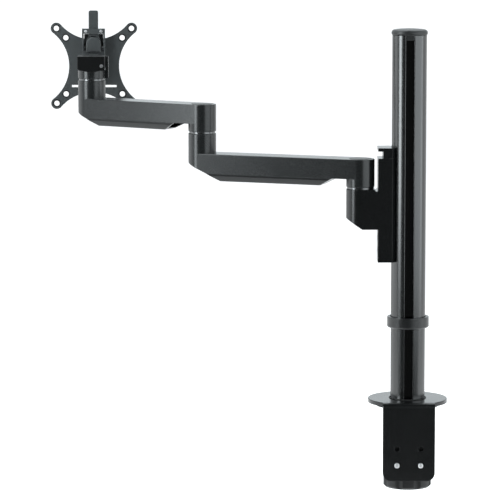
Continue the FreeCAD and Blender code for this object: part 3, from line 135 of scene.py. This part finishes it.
class Paint:
    # one node tree; node() adds any node, the other methods are short ways to call it
    def __init__(self, owner):
        owner.use_nodes = True
        self.owner = owner
        self.tree = owner.node_tree
        self.tree.nodes.clear()

    def node(self, kind, settings=None, inputs=None, output=0):
        made = self.tree.nodes.new("ShaderNode" + kind)
        for key, value in (settings or {}).items():
            if key == "stops":
                ramp = made.color_ramp.elements
                while len(ramp) < len(value):
                    ramp.new(0.5)
                for stop, (position, level) in zip(ramp, value):
                    stop.position = position
                    stop.color = (level, level, level, 1.0)
            else:
                setattr(made, key, value)
        for key, value in (inputs or {}).items():
            if isinstance(value, Signal):
                self.tree.links.new(value.socket, made.inputs[key])
            else:
                made.inputs[key].default_value = value
        return Signal(self, made.outputs[output]) if len(made.outputs) else None

    def maths(self, operation, first, second=0.0):
        return self.node("Math", {"operation": operation}, {0: first, 1: second})

    def spread(self, value, low, high, toLow=0.0, toHigh=1.0):
        # value between low and high carried to toLow and toHigh, with soft ends
        limits = {"From Min": low, "From Max": high, "To Min": toLow, "To Max": toHigh}
        return self.node("MapRange", {"interpolation_type": "SMOOTHSTEP"}, {"Value": value, **limits})

    def axes(self):
        # the point's place in metres, whole and as three numbers
        place = self.node("TexCoord", output="Object")
        parts = [self.node("SeparateXYZ", inputs={0: place}, output=i) for i in range(3)]
        return place, parts

    def stretched(self, place, scale):
        return self.node("Mapping", inputs={"Vector": place, "Scale": scale})

    def noise(self, place, scale, detail=3.0, roughness=0.55, distortion=0.0):
        return self.node("TexNoise", inputs={"Vector": place, "Scale": scale, "Detail": detail,
                                             "Roughness": roughness, "Distortion": distortion})

    def cells(self, place, scale):
        return self.node("TexVoronoi", inputs={"Vector": place, "Scale": scale}, output="Distance")

    def mixed(self, factor, first, second):
        # colours: first where factor is 0, second where it is 1
        return self.node("Mix", {"data_type": "RGBA"}, {0: factor, 6: first, 7: second}, output=2)

    def bump(self, height, distance, strength=1.0, under=None):
        inputs = {"Height": height, "Distance": distance, "Strength": strength}
        if under is not None:
            inputs["Normal"] = under
        return self.node("Bump", inputs=inputs)

    def corners(self, radius):
        # 1 on sharp edges, 0 on flats: one less the cosine between the rounded and the true normal
        rounded = self.node("Bevel", {"samples": 4}, {"Radius": radius})
        true = self.node("NewGeometry", output="Normal")
        cosine = self.node("VectorMath", {"operation": "DOT_PRODUCT"}, {0: rounded, 1: true}, output="Value")
        return self.spread(1.0 - cosine, 0.02, 0.25), rounded

    def finish(self, **sockets):
        names = {"colour": "Base Color", "roughness": "Roughness", "metallic": "Metallic", "normal": "Normal",
                 "ior": "IOR", "coat": "Coat Weight", "coatRoughness": "Coat Roughness"}
        inputs = {names[key]: value for key, value in sockets.items()}
        shader = self.node("BsdfPrincipled", inputs=inputs)
        self.node("OutputMaterial", inputs={"Surface": shader})
        return self.owner


def grey(level, warm=0.0):
    # a colour near grey; warm below 0 takes out red and adds a little blue
    return (level * (1.0 + 2.5 * warm), level, level * (1.0 - 0.6 * warm), 1.0)


def newPaint(name):
    return Paint(bpy.data.materials.new(name))


worldValues = {"backdrop": 1.0, "bright": 1.3, "dark": 0.05}


def makeWorld(values):
    # white where it is looked at; as light it is bright behind the arm and dark in front of it
    world = bpy.data.worlds.new("studio")
    bpy.context.scene.world = world
    paint = Paint(world)
    direction = paint.node("TexCoord", output="Generated")
    back = paint.node("SeparateXYZ", inputs={0: direction}, output=1)
    level = paint.spread(back, -0.1, 0.75, values["dark"], values["bright"])
    seen = paint.node("LightPath", output="Is Camera Ray")
    strength = level * (1.0 - seen) + seen * values["backdrop"]
    tint = paint.mixed(seen, lightValues["tint"] + (1.0,), (1.0, 1.0, 1.0, 1.0))
    light = paint.node("Background", inputs={"Color": tint, "Strength": strength})
    paint.node("OutputWorld", inputs={"Surface": light})


makeWorld(worldValues)
floorValues = {"height": -0.34, "half": 60.0, "front": -0.8, "tone": 0.86, "glow": 0.72}


def makeFloor(values):
    half, height = values["half"], values["height"]
    mesh = bpy.data.meshes.new("floor")
    front = values["front"]
    corners = [(-half, front, height), (half, front, height), (half, half, height), (-half, half, height)]
    mesh.from_pydata(corners, [], [(0, 1, 2, 3)])
    floor = bpy.data.objects.new("floor", mesh)
    bpy.context.scene.collection.objects.link(floor)
    paint = newPaint("paleFloor")
    tone = values["tone"]
    shader = paint.node("BsdfPrincipled", inputs={
        "Base Color": (tone, tone, tone, 1.0), "Roughness": 0.9, "Specular IOR Level": 0.1,
        "Emission Color": (1.0, 1.0, 1.0, 1.0), "Emission Strength": values["glow"]})
    paint.node("OutputMaterial", inputs={"Surface": shader})
    mesh.materials.append(paint.owner)


makeFloor(floorValues)
bpy.context.scene.view_settings.view_transform = "Standard"
print("camera, light and floor made")


# finishes

powderValues = {
    "blackPowder": {"tone": 0.0030, "roughness": 0.23, "grain": 1500.0, "depth": 0.00005, "wear": 0.05,
                    "ior": 1.46},
    "armPowder": {"tone": 0.006, "roughness": 0.26, "grain": 1900.0, "depth": 0.00004, "wear": 0.16,
                  "ior": 1.49},
    "headPowder": {"tone": 0.030, "roughness": 0.36, "grain": 1900.0, "depth": 0.00004, "wear": 0.16,
                   "ior": 1.6},
    "springSteel": {"tone": 0.010, "roughness": 0.36, "grain": 2600.0, "depth": 0.00002, "wear": 0.10,
                    "ior": 1.5},
}


def powderCoat(name, values):
    # fine orange-peel skin: noise of about half a millimetre in colour, gloss and height, worn brighter on
    # corners
    paint = newPaint(name)
    place, parts = paint.axes()
    peel = paint.noise(place, values["grain"], 2.0)
    speck = paint.cells(place, values["grain"] * 1.7)
    cloud = paint.noise(place, 14.0, 4.0, 0.6)
    corner, rounded = paint.corners(0.0006)
    tone = values["tone"]
    colour = paint.mixed(cloud, grey(tone * 0.86, -0.04), grey(tone * 1.16, -0.05))
    colour = paint.mixed(paint.spread(speck, 0.05, 0.35) * 0.25, grey(tone * 1.7, -0.03), colour)
    scuff = corner * paint.spread(paint.noise(place, 160.0, 4.0, 0.7), 0.35, 0.7)
    colour = paint.mixed(scuff * 0.8, colour, grey(values["wear"], -0.02))
    roughness = values["roughness"] + (peel - 0.5) * 0.12 + (cloud - 0.5) * 0.10 - corner * 0.05
    normal = paint.bump(peel, values["depth"], 0.5, rounded)
    return paint.finish(colour=colour, roughness=roughness, normal=normal, ior=values["ior"])


anodisedValues = {"tone": 0.004, "roughness": 0.20, "lines": 2600.0, "depth": 0.000012, "slotRadius": 0.0212}


def anodised(name, values):
    # extruded tube: fine lines along Z from noise squeezed across and drawn out along the pole; the slots,
    # nearer the axis than the tube's outer skin, get painted shade: blacker colour, and they are smoother
    paint = newPaint(name)
    place, parts = paint.axes()
    lines = paint.noise(paint.stretched(place, (1.0, 1.0, 0.004)), values["lines"], 3.0, 0.6)
    broad = paint.noise(paint.stretched(place, (1.0, 1.0, 0.02)), 260.0, 2.0, 0.5)
    handled = paint.noise(place, 22.0, 4.0, 0.62)
    corner, rounded = paint.corners(0.0004)
    tone = values["tone"]
    colour = paint.mixed(lines, grey(tone * 0.7, -0.06), grey(tone * 1.35, -0.06))
    # painted highlight: edges lighter in colour
    colour = paint.mixed(corner * 0.5, colour, grey(0.09, -0.03))
    axis = paint.maths("SQRT", parts[0] * parts[0] + parts[1] * parts[1])
    # painted shade in the slots: colour near black inside the slot radius, with roughness lowered there too
    slotShade = 1.0 - paint.spread(axis, values["slotRadius"] - 0.0008, values["slotRadius"])
    colour = paint.mixed(slotShade, colour, grey(0.0015))
    roughness = values["roughness"] + (lines - 0.5) * 0.10 + paint.spread(handled, 0.55, 0.8) * 0.10
    roughness = roughness - slotShade * 0.14
    normal = paint.bump(lines, values["depth"], 0.6, paint.bump(broad, 0.00003, 0.5, rounded))
    return paint.finish(colour=colour, roughness=roughness, normal=normal, ior=1.75)


plasticValues = {
    "blackPlastic": {"tone": 0.008, "roughness": 0.44, "grain": 2400.0, "ior": 1.5},
    "collarPlastic": {"tone": 0.007, "roughness": 0.30, "grain": 1500.0, "ior": 1.52},
    "hoodPlastic": {"tone": 0.0025, "roughness": 0.34, "grain": 2600.0, "ior": 1.36},
    "knobPlastic": {"tone": 0.0035, "roughness": 0.44, "grain": 1800.0, "ior": 1.4},
}


def mouldedPlastic(name, values):
    # spark-eroded grain: small cells for height, soft noise for gloss, corners a little smoother and lighter
    # in colour, a painted highlight
    paint = newPaint(name)
    place, parts = paint.axes()
    grain = paint.cells(place, values["grain"])
    pits = paint.noise(place, values["grain"] * 0.8, 3.0, 0.6)
    flow = paint.noise(place, 30.0, 3.0, 0.5, 0.6)
    corner, rounded = paint.corners(0.0005)
    tone = values["tone"]
    colour = paint.mixed(flow, grey(tone * 0.85, -0.03), grey(tone * 1.2, -0.03))
    # painted highlight along the edges: corners lighter in colour
    colour = paint.mixed(corner * 0.35, colour, grey(tone * 3.0, -0.02))
    roughness = values["roughness"] + (pits - 0.5) * 0.2 - corner * 0.1
    normal = paint.bump(grain * 0.6 + pits, 0.00005, 0.7, rounded)
    return paint.finish(colour=colour, roughness=roughness, normal=normal, ior=values["ior"])


coverValues = {"tone": 0.004, "roughness": 0.24, "ior": 1.34, "grain": 2100.0,
               "seamLower": 0.2905, "seamUpper": 0.3535, "seamHalf": 0.0004}


def coverPlastic(name, values):
    # as the arms, with a dark shadow gap where the cover meets the arm: a band at one height
    paint = newPaint(name)
    place, parts = paint.axes()
    grain = paint.noise(place, values["grain"], 2.0)
    flow = paint.noise(place, 18.0, 4.0, 0.6)
    corner, rounded = paint.corners(0.0006)
    lower = paint.maths("ABSOLUTE", parts[2] - values["seamLower"])
    upper = paint.maths("ABSOLUTE", parts[2] - values["seamUpper"])
    seamHalf = values["seamHalf"]
    seam = 1.0 - paint.spread(paint.maths("MINIMUM", lower, upper), seamHalf, seamHalf * 2.0)
    tone = values["tone"]
    colour = paint.mixed(flow, grey(tone * 0.9, -0.04), grey(tone * 1.12, -0.04))
    # painted highlight: edges lighter in colour
    colour = paint.mixed(corner * 0.4, colour, grey(tone * 2.4, -0.02))
    colour = paint.mixed(seam, colour, grey(0.003))
    roughness = values["roughness"] + (grain - 0.5) * 0.12 + seam * 0.3
    normal = paint.bump(grain, 0.00004, 0.5, paint.bump(1.0 - seam, 0.0004, 0.6, rounded))
    return paint.finish(colour=colour, roughness=roughness, normal=normal, ior=values["ior"])


zincValues = {"tone": 0.72, "roughness": 0.36}


def zincSteel(name, values):
    # plated steel: cloudy crystals a few millimetres wide, turning marks finer than a tenth
    paint = newPaint(name)
    place, parts = paint.axes()
    crystals = paint.cells(paint.stretched(place, (1.0, 1.0, 1.0)), 700.0)
    cloud = paint.noise(place, 90.0, 4.0, 0.6)
    marks = paint.noise(paint.stretched(place, (0.05, 1.0, 1.0)), 5200.0, 2.0)
    tone = values["tone"]
    dull = (tone * 0.82, tone * 0.83, tone * 0.85, 1.0)
    bright = (tone * 1.1, tone * 1.1, tone * 1.12, 1.0)
    colour = paint.mixed(cloud, dull, bright)
    colour = paint.mixed(crystals * 0.3, colour, (tone * 0.8, tone * 0.78, tone * 0.7, 1.0))
    roughness = values["roughness"] + (cloud - 0.5) * 0.16 + crystals * 0.08
    normal = paint.bump(marks, 0.00001, 0.5)
    return paint.finish(colour=colour, roughness=roughness, metallic=1.0, normal=normal)


washerValues = {"tone": 0.15, "roughness": 0.26}


def polishedSteel(name, values):
    # turned ring: rings of fine noise stacked along Z, a few darker smears
    paint = newPaint(name)
    place, parts = paint.axes()
    rings = paint.noise(paint.stretched(place, (0.06, 0.06, 1.0)), 5200.0, 2.0)
    smear = paint.noise(place, 260.0, 3.0, 0.6)
    tone = values["tone"]
    colour = paint.mixed(paint.spread(smear, 0.5, 0.8), (tone, tone, tone * 1.01, 1.0), grey(tone * 0.7))
    roughness = values["roughness"] + (rings - 0.5) * 0.1 + (smear - 0.5) * 0.08
    normal = paint.bump(rings, 0.00001, 0.5)
    return paint.finish(colour=colour, roughness=roughness, metallic=1.0, normal=normal)


rubberValues = {"tone": 0.016, "roughness": 0.78}


def mattRubber(name, values):
    # moulded rubber: soft pebble about a millimetre wide with dust caught in it
    paint = newPaint(name)
    place, parts = paint.axes()
    pebble = paint.cells(place, 900.0)
    dust = paint.noise(place, 420.0, 4.0, 0.7)
    tone = values["tone"]
    colour = paint.mixed(paint.spread(dust, 0.5, 0.8) * 0.6, grey(tone, 0.02), grey(tone * 2.6, 0.03))
    roughness = values["roughness"] + (dust - 0.5) * 0.2
    return paint.finish(colour=colour, roughness=roughness, normal=paint.bump(pebble, 0.0001, 0.6))


bronzeValues = {"dark": (0.30, 0.17, 0.07, 1.0), "light": (0.56, 0.37, 0.17, 1.0), "roughness": 0.42}


def sinteredBronze(name, values):
    # pressed powder metal: open pores under a tenth of a millimetre
    paint = newPaint(name)
    place, parts = paint.axes()
    pores = paint.cells(place, 4200.0)
    cloud = paint.noise(place, 200.0, 3.0)
    colour = paint.mixed(paint.spread(pores, 0.1, 0.5), values["dark"], values["light"])
    roughness = values["roughness"] + (cloud - 0.5) * 0.2
    normal = paint.bump(pores, 0.00003, 0.6)
    return paint.finish(colour=colour, roughness=roughness, metallic=1.0, normal=normal)


turnedValues = {"tone": 0.58, "roughness": 0.3}


def turnedAluminium(name, values):
    # lathe marks: fine rings along Z
    paint = newPaint(name)
    place, parts = paint.axes()
    rings = paint.noise(paint.stretched(place, (0.04, 0.04, 1.0)), 3600.0, 2.0)
    tone = values["tone"]
    colour = paint.mixed(rings, grey(tone * 0.86), grey(tone * 1.1))
    roughness = values["roughness"] + (rings - 0.5) * 0.16
    normal = paint.bump(rings, 0.00002, 0.6)
    return paint.finish(colour=colour, roughness=roughness, metallic=1.0, normal=normal)


finishes = {
    "blackPowder": powderCoat("blackPowder", powderValues["blackPowder"]),
    "armPowder": powderCoat("armPowder", powderValues["armPowder"]),
    "headPowder": powderCoat("headPowder", powderValues["headPowder"]),
    "springSteel": powderCoat("springSteel", powderValues["springSteel"]),
    "anodised": anodised("anodisedPole", anodisedValues),
    "coverPlastic": coverPlastic("coverPlastic", coverValues),
    "blackPlastic": mouldedPlastic("blackPlastic", plasticValues["blackPlastic"]),
    "collarPlastic": mouldedPlastic("collarPlastic", plasticValues["collarPlastic"]),
    "hoodPlastic": mouldedPlastic("hoodPlastic", plasticValues["hoodPlastic"]),
    "knobPlastic": mouldedPlastic("knobPlastic", plasticValues["knobPlastic"]),
    "zincSteel": zincSteel("zincSteel", zincValues),
    "polishedSteel": polishedSteel("polishedSteel", washerValues),
    "mattRubber": mattRubber("mattRubber", rubberValues),
    "sinteredBronze": sinteredBronze("sinteredBronze", bronzeValues),
    "turnedAluminium": turnedAluminium("turnedAluminium", turnedValues),
}

nodeFinish = {
    "blackPowder": ["base_plate", "lower_jaw", "arm_carrier", "lock_wedge"],
    "anodised": ["pole"],
    "armPowder": ["lower_arm", "upper_arm", "head_swivel"],
    "coverPlastic": ["lower_cable_cover", "upper_cable_cover"],
    "headPowder": ["tilt_bracket", "receiver_frame", "screen_plate", "slide_block", "cross_bar", "bar_blocks",
                   "release_lever"],
    "blackPlastic": ["pole_cap", "shoulder_cap", "elbow_cap"],
    "collarPlastic": ["stop_collar"],
    "hoodPlastic": ["head_hood"],
    "knobPlastic": ["clamp_knob"],
    "mattRubber": ["desk_pad", "pressure_pad"],
    "zincSteel": ["pole_bolt", "jaw_screws", "clamp_spindle", "pressure_plate", "collar_nut", "collar_screw",
                  "slot_rail", "carrier_screws", "shoulder_pin", "elbow_pin", "head_pin", "shoulder_nut",
                  "elbow_nut", "head_nut", "tilt_axle", "turn_hub", "bar_rivets", "tension_screw"],
    "springSteel": ["lever_pin", "lever_springs"],
    "polishedSteel": ["shoulder_washer", "elbow_washer", "head_washer", "tilt_washers", "turn_washer"],
    "sinteredBronze": ["shoulder_bush", "elbow_bush", "head_bush"],
    "turnedAluminium": ["pole_foot_plug"],
}


def dress(choice):
    for finishName, members in choice.items():
        for member in members:
            mesh = nodes[member].data
            mesh.materials.clear()
            mesh.materials.append(finishes[finishName])


dress(nodeFinish)
print("finishes given to", sum(len(m) for m in nodeFinish.values()), "nodes")


# new pieces

def gridMesh(points, closeU=False, closeV=False):
    # points is an array rows x columns x 3; neighbours in the two directions become quads
    rows, columns = points.shape[:2]
    index = np.arange(rows * columns).reshape(rows, columns)
    if closeU:
        index = np.vstack([index, index[:1]])
    if closeV:
        index = np.hstack([index, index[:, :1]])
    quads = np.stack([index[:-1, :-1], index[:-1, 1:], index[1:, 1:], index[1:, :-1]], axis=-1).reshape(-1, 4)
    return points.reshape(-1, 3), quads


def addPiece(name, parts, finishName, body, smooth=True):
    # parts is a list of (points, quads) joined into one mesh
    starts = np.cumsum([0] + [len(points) for points, quads in parts[:-1]])
    points = np.vstack([p for p, q in parts])
    quads = np.vstack([q + start for (p, q), start in zip(parts, starts)])
    mesh = bpy.data.meshes.new(name)
    mesh.vertices.add(len(points))
    mesh.vertices.foreach_set("co", points.astype(np.float32).ravel())
    mesh.loops.add(quads.size)
    mesh.loops.foreach_set("vertex_index", quads.astype(np.int32).ravel())
    mesh.polygons.add(len(quads))
    mesh.polygons.foreach_set("loop_start", np.arange(0, quads.size, 4, dtype=np.int32))
    mesh.polygons.foreach_set("use_smooth", np.full(len(quads), smooth))
    mesh.update(calc_edges=True)
    mesh.validate()
    mesh.materials.append(finishes[finishName])
    piece = bpy.data.objects.new(name, mesh)
    bpy.context.scene.collection.objects.link(piece)
    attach(piece, body)
    return piece


spindleValues = {"pitch": 0.0015, "depth": 0.0009, "perTurn": 20, "around": 48, "insetEnd": 0.0012,
                 "flatten": 1.35, "root": 0.1}


def makeSpindle(values):
    # thread: radius is the outer radius less depth times a flattened wave of height minus turn, so it climbs
    # one pitch a turn; both ends close on the axis
    low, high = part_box("clamp_spindle")
    centreX, centreY = (low[0] + high[0]) / 2.0, (low[1] + high[1]) / 2.0
    outer = (high[0] - low[0]) / 2.0
    pitch, around = values["pitch"], values["around"]
    rows = int((high[2] - low[2]) / pitch * values["perTurn"])
    z = np.linspace(low[2], high[2], rows)[:, None]
    turn = np.linspace(0.0, 2.0 * math.pi, around, endpoint=False)[None, :]
    climb = 0.5 + 0.5 * np.cos(2.0 * math.pi * z / pitch - turn)
    wave = np.clip(values["flatten"] * climb - values["root"], 0.0, 1.0)
    fromEnd = np.minimum(z - low[2], high[2] - z)
    ease = np.clip(fromEnd / values["insetEnd"], 0.0, 1.0)
    radius = (outer - values["depth"]) + values["depth"] * wave * ease
    x, y = centreX + radius * np.cos(turn), centreY + radius * np.sin(turn)
    points = np.stack([x, y, z + 0.0 * turn], axis=-1)
    capLow = np.broadcast_to(np.array([centreX, centreY, low[2]]), (1, around, 3))
    capHigh = np.broadcast_to(np.array([centreX, centreY, high[2]]), (1, around, 3))
    points = np.concatenate([capLow, points, capHigh])
    body = gridMesh(points, closeV=True)
    piece = addPiece("threaded_spindle", [flip(body)], "zincSteel", "knob_body")
    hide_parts("clamp_spindle")


def flip(part):
    points, quads = part
    return points, quads[:, ::-1]


def ringSurface(profile, centre, around=96):
    # closed profile of (radius, height) turned about an upright line through centre
    profile = np.asarray(profile)
    turn = np.linspace(0.0, 2.0 * math.pi, around, endpoint=False)[:, None]
    radius, height = profile[None, :, 0], profile[None, :, 1]
    points = np.stack([centre[0] + radius * np.cos(turn), centre[1] + radius * np.sin(turn),
                       centre[2] + height + 0.0 * turn], axis=-1)
    return gridMesh(points, closeU=True, closeV=True)


def roundProfile(radius, height, thick, steps=14):
    # circle of that thickness at (radius, height)
    turn = np.linspace(0.0, 2.0 * math.pi, steps, endpoint=False)
    return np.stack([radius + thick * np.cos(turn), height + thick * np.sin(turn)], axis=-1)


footValues = {"poleRadius": 0.0224, "gap": 0.0002, "thick": 0.0005}


def makeFootRing(values):
    # thin rubber ring that seals the pole's foot on the plate
    low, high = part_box("pole")
    radius = values["poleRadius"] + values["thick"] + values["gap"]
    ring = ringSurface(roundProfile(radius, low[2] + values["thick"], values["thick"]), (0.0, 0.0, 0.0))
    addPiece("pole_foot_ring", [ring], "mattRubber", "base")


holeShadeValues = {"hole": 0.0036, "wide": 0.0016, "proud": 0.0006, "pitches": (0.0375, 0.050)}


def makeHoleShadeRims(values):
    # painted shade around the plate's holes: dark round rims half sunk in the plate's arm-side face
    low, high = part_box("screen_plate")
    centreX, centreZ = (low[0] + high[0]) / 2.0, (low[2] + high[2]) / 2.0
    rims = []
    for half in values["pitches"]:
        for sideX in (-1.0, 1.0):
            for sideZ in (-1.0, 1.0):
                radius = values["hole"] + values["wide"] / 2.0
                section = roundProfile(0.0, 0.0, 1.0, 12) * (values["wide"] / 2.0, values["proud"])
                turn = np.linspace(0.0, 2.0 * math.pi, 36, endpoint=False)[:, None]
                reach = radius + section[None, :, 0]
                points = np.stack([centreX + sideX * half + reach * np.cos(turn),
                                   low[1] + section[None, :, 1] + 0.0 * turn,
                                   centreZ + sideZ * half + reach * np.sin(turn)], axis=-1)
                rims.append(gridMesh(points, closeU=True, closeV=True))
    # the rims carry painted shade in black plastic
    addPiece("plate_hole_shade_rims", rims, "hoodPlastic", "screen_body")


padValues = {"half": 0.0094, "foot": 0.020, "spring": 0.0305, "rise": 0.0085, "thick": 0.0009, "edge": 0.0008,
             "gap": 0.00005}


def makeThumbPad(values):
    # raised pad with an arched top on the arm side of the release lever: nested outlines, each a little
    # smaller and further out, so the edge is rounded by a quarter circle
    low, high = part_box("release_lever")
    centreX = (low[0] + high[0]) / 2.0
    plateLow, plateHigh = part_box("screen_plate")
    centreZ = (plateLow[2] + plateHigh[2]) / 2.0
    front = low[1] - values["gap"]
    turn = np.linspace(0.0, math.pi, 25)
    rows = []
    for step in np.linspace(0.0, math.pi / 2.0, 6):
        inset = values["edge"] * (1.0 - math.cos(step))
        out = values["thick"] * math.sin(step)
        half = values["half"] - inset
        arch = [(half * math.cos(t), values["spring"] + (values["rise"] - inset) * math.sin(t)) for t in turn]
        outline = [(half, values["foot"] + inset)] + arch + [(-half, values["foot"] + inset)]
        rows.append([(centreX + x, front - out, centreZ + z) for x, z in outline])
    middle = values["foot"] + (values["spring"] - values["foot"]) / 2.0
    count = len(rows[0])
    rows.append([(centreX, front - values["thick"], centreZ + middle)] * count)
    back = [[(centreX, front, centreZ + middle)] * count]
    body = gridMesh(np.array(back + rows), closeV=True)
    addPiece("lever_pad", [body], "headPowder", "lever_body")


makeSpindle(spindleValues)
makeFootRing(footValues)
makeHoleShadeRims(holeShadeValues)
makeThumbPad(padValues)
print("new pieces made")
